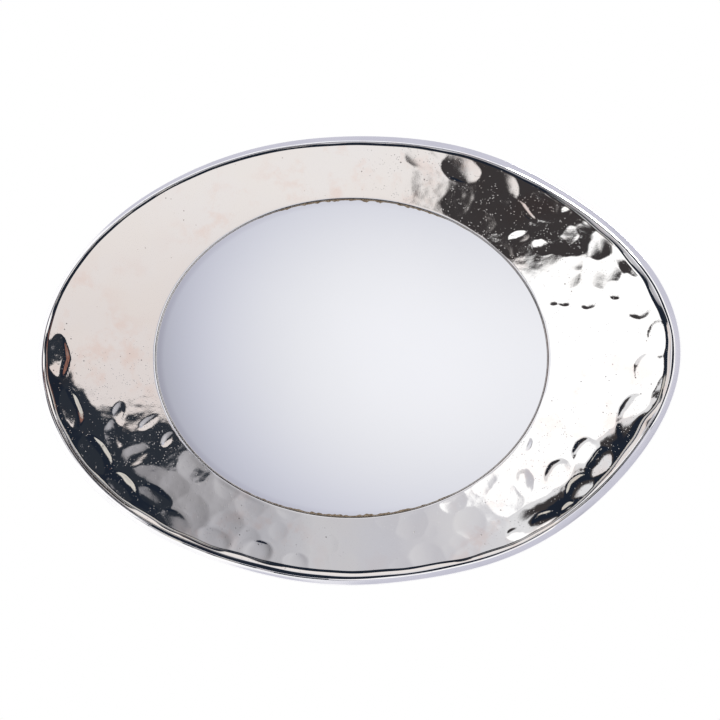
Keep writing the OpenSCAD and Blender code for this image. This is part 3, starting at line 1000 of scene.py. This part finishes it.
# The D-ring and its plate, in millimetres: the barrel is the plate's rolled edge round the ring's bar
hanger = {"wire": 1.0, "ringRadius": 7.0, "corner": 2.0, "leg": 1.0, "plate": 0.8, "barrelHalf": 4.5,
          "strapHalf": 14.5, "endRadius": 4.0, "wireGap": 0.06, "screwX": 10.8, "screwDrop": 5.2,
          "shoulder": 62}
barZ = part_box("hanging_ring")[0].z / mm + hanger["wire"]
strapScrewZ = barZ - hanger["screwDrop"]


def roundRim(count, inset, y):  # points spread evenly along the rim
    t = np.radians((np.arange(count) + 0.5) * 360 / count)
    return at(rim(t, np.full(count, inset)), y)


proud = 0.02  # what the heads stand off the surface
strapFace = boardBack + hanger["plate"] + proud
for name, places, size, slotted, material, slot, node, tilt, turn, seed in (
        ("bandTacks", roundRim(20, fixings["tackInset"], bandBack + proud), "tack", False,
         steelTack, "tack_steel", "band_tacks", 2.5, 180, 11),
        ("boardScrews", roundRim(8, fixings["boardScrewInset"], boardBack + proud), "boardScrew", True,
         brass, "screw_brass", "board_screws", 0.8, 90, 5),
        ("hangerScrews", [(side * hanger["screwX"], strapFace, strapScrewZ) for side in (-1, 1)],
         "strapScrew", True, brass, "screw_brass", "hanger_screws", 0.8, 90, 8)):
    model = fixingModel(size + "Model", fixings[size], slotted)
    driveIn(name, places, model, material, slot, node, tilt, turn, seed)


def makeRing():
    size = hanger
    r, c = size["ringRadius"], size["corner"]
    arcZ = barZ + c + size["leg"]
    path = []
    for turn in np.radians(np.linspace(0, 180, 60)):
        path.append((r * math.cos(turn), arcZ + r * math.sin(turn)))
    for turn in np.radians(np.linspace(180, 270, 14)):
        path.append((-r + c + c * math.cos(turn), barZ + c + c * math.sin(turn)))
    for x in np.linspace(-r + c, r - c, 12)[1:-1]:
        path.append((x, barZ))
    for turn in np.radians(np.linspace(270, 360, 14)):
        path.append((r - c + c * math.cos(turn), barZ + c + c * math.sin(turn)))
    path = np.array(path)
    ahead = np.roll(path, -1, 0) - np.roll(path, 1, 0)
    ahead /= np.linalg.norm(ahead, axis=1, keepdims=True)
    side = np.stack([ahead[:, 1], -ahead[:, 0]], 1)
    loops = []
    for turn in np.radians(np.arange(0, 360, 18)):
        flat = path + side * (size["wire"] * math.cos(turn))
        loops.append(at(flat, size["wire"] * math.sin(turn)))
    piece = sweepRing("hangingRing", np.stack(loops, 1), 60)
    paint(piece, steelHanger)
    finishPiece(piece, "hanger_steel", "hanging_ring", body="ring")


def strapWidth(z):  # half the plate's width at a height
    size = hanger
    spread = size["strapHalf"] - size["endRadius"]
    lean = math.radians(size["shoulder"])
    x0 = spread + size["endRadius"] * math.cos(lean)
    z0 = strapScrewZ + size["endRadius"] * math.sin(lean)
    if z <= z0:
        return spread + math.sqrt(max(0.0, size["endRadius"] ** 2 - (z - strapScrewZ) ** 2))
    share = min(1.0, (z - z0) / max(0.1, barZ - z0))
    return x0 + (size["barrelHalf"] - x0) * share ** 0.8


def makeStrap():
    size = hanger
    t = size["plate"]
    roll = size["wire"] + size["wireGap"] + t / 2
    low = strapScrewZ - size["endRadius"]
    heights = np.unique(np.round(np.concatenate([
        low + size["endRadius"] * (1 - np.cos(np.radians(np.linspace(4, 90, 12)))),
        np.linspace(strapScrewZ, barZ, 16)]), 4))
    # along the sheet: y, z, outward y, outward z, half the width
    sheet = [(-roll, z, -1.0, 0.0, max(0.8, strapWidth(z))) for z in heights]
    for turn in np.radians(np.linspace(6, 232, 34)):
        y, z = -math.cos(turn), math.sin(turn)
        sheet.append((roll * y, barZ + roll * z, y, z, size["barrelHalf"] - 0.1))
    columns = np.linspace(-1, 1, 25)
    outer, inner = [], []
    for y, z, ny, nz, half in sheet:
        for c in columns:
            outer.append((half * c, y + ny * t / 2, z + nz * t / 2))
            inner.append((half * c, y - ny * t / 2, z - nz * t / 2))
    rows, cols = len(sheet), len(columns)
    points = outer + inner
    shift = len(outer)
    faces = []
    for i in range(rows - 1):
        for j in range(cols - 1):
            a, d = i * cols + j, (i + 1) * cols + j
            faces.append((a, a + 1, d + 1, d))
            faces.append((shift + a, shift + d, shift + d + 1, shift + a + 1))
    for i in range(rows - 1):
        for j, order in ((0, 1), (cols - 1, -1)):
            a, b = i * cols + j, (i + 1) * cols + j
            faces.append((a, b, b + shift, a + shift)[::order])
    for j in range(cols - 1):
        for i, order in ((0, -1), (rows - 1, 1)):
            a, b = i * cols + j, i * cols + j + 1
            faces.append((a, b, b + shift, a + shift)[::order])
    piece = newPiece("hangerStrap", newMesh("hangerStrap", points, outwards(points, faces), 35))
    soft = piece.modifiers.new("softEdges", "BEVEL")
    soft.width = 0.12 * mm
    soft.segments = 2
    soft.limit_method = "ANGLE"
    soft.angle_limit = math.radians(50)
    paint(piece, steelHanger)
    finishPiece(piece, "hanger_steel", "hanger_strap")


makeRing()
makeStrap()


def bumperFelt(bench, place):
    hairs = bench.clouds(place, 1900.0, 4.0, 0.75)
    tufts = bench.clouds(place, 420.0, 2.0)
    colour = bench.blend((hairs * 0.7 + tufts * 0.3).rise(0.3, 0.7),
                         (0.035, 0.033, 0.032), (0.15, 0.145, 0.14))
    return {"Base Color": colour, "Roughness": 0.92 + hairs * 0.08,
            "Normal": bench.relief(hairs + tufts * 0.5, 0.0003, 0.9)}


bumper = {"rounding": 1.1, "slack": 0.04, "turns": 72}  # millimetres


def makeBumper(node, felt):
    low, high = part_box(node)
    middle = (low + high) / 2 / mm
    r = (high.x - low.x) / 2 / mm
    tall = (high.y - low.y) / mm
    side, soft = r - bumper["slack"], bumper["rounding"]
    profile = [(0, 0.0), (r * 0.5, 0.0), (r - 0.12, 0.0), (side, 0.15), (side, tall * 0.35)]
    profile += [(side, tall - soft - 0.3)]
    for turn in np.radians(np.linspace(0, 80, 7)):
        profile.append((side - soft * (1 - math.cos(turn)), tall - soft * (1 - math.sin(turn))))
    profile += [(r * 0.62, tall - 0.01), (r * 0.4, tall), (r * 0.2, tall), (0, tall)]
    mesh = lathe(node + "Pad", profile, bumper["turns"])
    for vertex in mesh.vertices:
        spot = vertex.co / mm
        rough = noise.noise(spot * 2.3 + middle) * 0.05 + noise.noise(spot * 5.1 + middle) * 0.03
        sideways = Vector((spot.x, spot.y, 0))
        if 0.05 < spot.z < tall - 0.3 and sideways.length:
            spot = spot - sideways.normalized() * abs(rough)
        vertex.co = Vector((spot.x + middle.x, low.y / mm + spot.z, spot.y + middle.z)) * mm
    mesh.flip_normals()
    piece = newPiece("felt_" + node, mesh)
    paint(piece, felt)
    finishPiece(piece, "bumper_felt", node)


feltDots = newMaterial("bumperFelt", bumperFelt)
for corner in ("top_right", "top_left", "bottom_left", "bottom_right"):
    makeBumper("bumper_" + corner, feltDots)

# The camera, in metres: it stands straight in front, close enough to see the band all round
view = {"distance": 0.65, "frameWidth": 0.2902, "sensor": 36.0, "right": 0.0002, "down": 0.0004,
        "aheadOfBack": 0.001}


def makeCamera():
    camera = bpy.data.cameras.new("camera")
    camera.sensor_width = view["sensor"]
    camera.lens = view["sensor"] * view["distance"] / view["frameWidth"]
    holder = bpy.data.objects.new("camera", camera)
    holder.location = (view["right"], bandBack * mm - view["aheadOfBack"] - view["distance"],
                       oval["middleZ"] * mm - view["down"])
    holder.rotation_euler = (math.radians(90), 0, 0)
    bpy.context.scene.collection.objects.link(holder)
    bpy.context.scene.camera = holder


def paleFloor(bench, place):
    grain = bench.clouds(place, 240.0, 3.0)
    colour = bench.blend(grain, (0.84, 0.84, 0.85), (0.88, 0.88, 0.88))
    return {"Base Color": colour, "Roughness": 0.85 + grain * 0.1}


floor = {"drop": 0.24, "radius": 0.8, "fadeFrom": 0.35, "steps": 96}  # metres


def makeFloor():
    low = cadBox[0].z - floor["drop"]
    t = stations(floor["steps"])
    points = [(floor["radius"] * math.cos(a) / mm, floor["radius"] * math.sin(a) / mm, low / mm) for a in t]
    piece = newPiece("paleFloor", newMesh("paleFloor", points, [tuple(range(len(t)))]))
    material = newMaterial("paleFloor", paleFloor)
    tree = material.node_tree
    bench = Bench(tree)
    place = bench.add("ShaderNodeTexCoord", out="Object")
    split = bench.split(place)
    away = (split * split + split.other("Y") * split.other("Y")).math("SQRT")
    surface = next(n for n in tree.nodes if n.type == "BSDF_PRINCIPLED")
    clear = bench.add("ShaderNodeBsdfTransparent")
    faded = away.rise(floor["fadeFrom"], floor["radius"] * 0.98)
    mixed = bench.add("ShaderNodeMixShader", {}, {0: faded, 1: Wire(bench, surface.outputs[0]), 2: clear})
    output = next(n for n in tree.nodes if n.type == "OUTPUT_MATERIAL")
    tree.links.new(mixed.socket, output.inputs["Surface"])
    paint(piece, material)
    piece.visible_glossy = False


metal = 0.885  # what the polished sheet gives back of the light that meets it

# The light round the object. Edges are the start and the end of a soft change, in degrees to the right
# of or above the object's own axis, or off it for "off". Tones are as they look in the sheet.
studio = {
    "wobble": 5.0,
    "dark": (0.012, 0.017, 0.028),
    "lilac": (0.57, 0.57, 0.65),
    "rim": {"off": 112.0, "width": 26.0, "widerLeft": 18.0, "laterUp": 28.0, "laterDown": 3.0,
            "room": (99, 103)},
    "lowPanels": {"sine": (-0.9, -0.3, 0.08), "off": (56, 74, 2), "tone": (0.46, 0.46, 0.49)},
    "paleRing": {"off": (42.5, 60, 1.0), "up": (-9, -4), "sides": (16, 22),
                 "inner": (0.72, 0.69, 0.63), "outer": (0.40, 0.38, 0.36), "fade": (42, 62), "uneven": 7.0},
    "brownStrip": {"off": (38, 56, 1.0), "up": (-10, 10, 2.0), "right": (-24, -20),
                   "tone": (0.26, 0.125, 0.095)},
    "charcoal": {"off": (30, 31.5), "change": (-8, 2), "left": (0.022, 0.027, 0.036),
                 "right": (0.040, 0.036, 0.037)},
    "greyPanel": {"up": (-5.5, -4.9), "right": (-16.3, -15.7), "off": (30.0, 31.0), "corner": (35, 38),
                  "gap": 3.6, "gapRight": (-13, -5), "from": -16.5, "width": 30.0},
    "whitePanel": {"left": (7.0, 8.0), "right": (34, 36), "corner": (26.5, 29), "low": (-16, -13),
                   "tone": (1.06, 1.055, 1.05)},
    "warmPanel": {"right": (4.2, 7.0), "low": (-4.5, -3.7), "left": (-26, -25), "high": (28.5, 31),
                  "shade": (-4, 22), "lowTone": (0.705, 0.645, 0.62), "highTone": (0.80, 0.765, 0.745)},
    "ahead": {"width": 7.7, "height": 6.4, "edge": (0.97, 1.05)},  # what the flat glass sees
}


def studioTone(rgb):
    return tuple(c / metal for c in rgb)


def makeStudio():
    world = bpy.data.worlds.new("softStudio")
    bpy.context.scene.world = world
    world.use_nodes = True
    tree = world.node_tree
    tree.nodes.clear()
    bench = Bench(tree)
    ray = bench.add("ShaderNodeTexCoord", out="Generated")
    axis = bench.split(ray)
    front = (-axis.other("Y")).high(-1.0).low(1.0)
    theta = front.math("ARCCOSINE") * (180 / math.pi)
    planar = (axis * axis + axis.other("Z") * axis.other("Z")).math("SQRT").high(0.0001)
    right = axis * theta / planar
    up = axis.other("Z") * theta / planar
    wobble = bench.clouds(ray, 9.0, 3.0, 0.6)
    ripple = bench.clouds(ray, 11.5, 3.0, 0.6)
    x = right + (wobble - 0.5) * studio["wobble"]
    z = up + (ripple - 0.5) * studio["wobble"]

    # what lies beside and behind: a white rim round a lilac room, over a dark ground
    rim = studio["rim"]
    sine = axis.other("Z") / planar
    start = theta - rim["off"] - sine.high(0.0) ** 2.0 * rim["laterUp"]
    start = start - (-sine).high(0.0) ** 2.0 * rim["laterDown"]
    end = start - rim["width"] - (-axis / planar).high(0.0) * rim["widerLeft"]
    tone = bench.blend(start.rise(-1.5, 1.5) * (1 - end.rise(-2, 2)), studioTone(studio["lilac"]),
                       studioTone((1.0, 1.0, 1.0)))
    tone = bench.blend(theta.rise(*rim["room"]), studioTone(studio["dark"]), tone)

    # soft panels low on both sides, for the light on the sheet seen from the side
    panel = studio["lowPanels"]
    soft = sine.within(*panel["sine"]) * theta.within(*panel["off"])
    tone = bench.blend(soft, tone, studioTone(panel["tone"]))

    # a pale ring low down and a brown strip at the left, both seen only in the deep marks
    panel = studio["paleRing"]
    ring = theta.within(*panel["off"]) * (1 - z.rise(*panel["up"]))
    ring = ring * x.math("ABSOLUTE").rise(*panel["sides"])
    faded = (theta + (ripple - 0.5) * panel["uneven"]).rise(*panel["fade"])
    tone = bench.blend(ring, tone, bench.blend(faded, panel["inner"], panel["outer"]))
    panel = studio["brownStrip"]
    brown = theta.within(*panel["off"]) * z.within(*panel["up"]) * (1 - x.rise(*panel["right"]))
    tone = bench.blend(brown * wobble.rise(0.38, 0.52), tone, studioTone(panel["tone"]))

    # nearer the axis: charcoal, with the panels over it
    panel = studio["charcoal"]
    charcoal = bench.blend(x.rise(*panel["change"]), studioTone(panel["left"]), studioTone(panel["right"]))
    tone = bench.blend(1 - theta.rise(*panel["off"]), tone, charcoal)

    # grey panel below, paler to the right, and lower at the left with a dark gap over it
    panel = studio["greyPanel"]
    shade = bench.ramp(
        ((right - panel["from"]) / panel["width"]).high(0.0).low(1.0),
        (0.0, studioTone((0.18, 0.18, 0.195))), (0.067, studioTone((0.24, 0.235, 0.25))),
        (0.133, studioTone((0.285, 0.28, 0.295))), (0.283, studioTone((0.40, 0.395, 0.42))),
        (0.45, studioTone((0.55, 0.545, 0.565))), (0.65, studioTone((0.52, 0.515, 0.55))),
        (0.8, studioTone((0.61, 0.605, 0.63))), (1.0, studioTone((0.72, 0.72, 0.73))))
    lowered = z + (1 - x.rise(*panel["gapRight"])) * panel["gap"]
    grey = (1 - lowered.rise(*panel["up"])) * x.rise(*panel["right"]) * (1 - theta.rise(*panel["off"]))
    tone = bench.blend(grey * (1 - (x - z).rise(*panel["corner"])), tone, shade)

    # white panel at the right, its upper edge in two slopes
    panel = studio["whitePanel"]
    edgeUp = (9.0 + (x - 13.0) * 0.4).high((x - 22.0) * 3.0 + 12.6)
    white = (1 - (z - edgeUp).rise(-0.7, 0.7)) * x.rise(*panel["left"]) * (1 - x.rise(*panel["right"]))
    white = white * (1 - (x - z).rise(*panel["corner"])) * z.rise(*panel["low"])
    tone = bench.blend(white, tone, studioTone(panel["tone"]))

    # warm panel above and to the left
    panel = studio["warmPanel"]
    warmth = bench.blend(up.rise(*panel["shade"]), studioTone(panel["lowTone"]),
                         studioTone(panel["highTone"]))
    warm = (1 - x.rise(*panel["right"])) * z.rise(*panel["low"]) * x.rise(*panel["left"])
    tone = bench.blend(warm * (1 - z.rise(*panel["high"])), tone, warmth)

    # straight ahead, as the mirror glass sees it: pale, cooler and darker to the left
    panel = studio["ahead"]
    u = (right / 7.0).high(-1.4).low(1.4)
    v = (up / 5.7).high(-1.4).low(1.4)
    bright = 0.90 + 0.125 * u + 0.036 * v - 0.23 * u * u - 0.225 * v * v - 0.06 * u * v + 0.087 * u * u * u
    cool = bench.blend(bright.rise(0.5, 0.9), (0.98, 0.995, 1.15), (0.998, 1.0, 1.04))
    seen = ((right / panel["width"]) ** 2.0 + (up / panel["height"]) ** 2.0).math("SQRT")
    glassTone = bench.add("ShaderNodeVectorMath", {"operation": "SCALE"}, {0: cool, "Scale": bright})
    tone = bench.blend(1 - seen.rise(*panel["edge"]), tone, glassTone)

    # matt things are lit by plain soft light from above
    plain = bench.blend(axis.other("Z").rise(-1.0, 0.9), (0.62, 0.62, 0.64), (1.0, 1.0, 1.0))
    path = bench.add("ShaderNodeLightPath", out="Is Camera Ray")
    tone = bench.blend(path.other("Is Diffuse Ray"), tone, plain)
    tone = bench.blend(path, tone, (1.0, 1.0, 1.0))
    sky = bench.add("ShaderNodeBackground", {}, {"Color": tone, "Strength": 1.0})
    output = tree.nodes.new("ShaderNodeOutputWorld")
    tree.links.new(sky.socket, output.inputs["Surface"])


def makeLamp(name, place, aim, size, power):
    lamp = bpy.data.lights.new(name, "AREA")
    lamp.shape = "DISK"
    lamp.size = size
    lamp.energy = power
    holder = bpy.data.objects.new(name, lamp)
    holder.location = place
    holder.rotation_euler = (Vector(aim) - Vector(place)).to_track_quat("-Z", "Y").to_euler()
    bpy.context.scene.collection.objects.link(holder)


makeCamera()
makeFloor()
makeStudio()
makeLamp("backLamp", (0.55, 0.7, 0.5), (0, 0, -0.09), 0.45, 7.0)
bpy.context.scene.view_settings.view_transform = "Standard"
print("camera, floor and light are set")
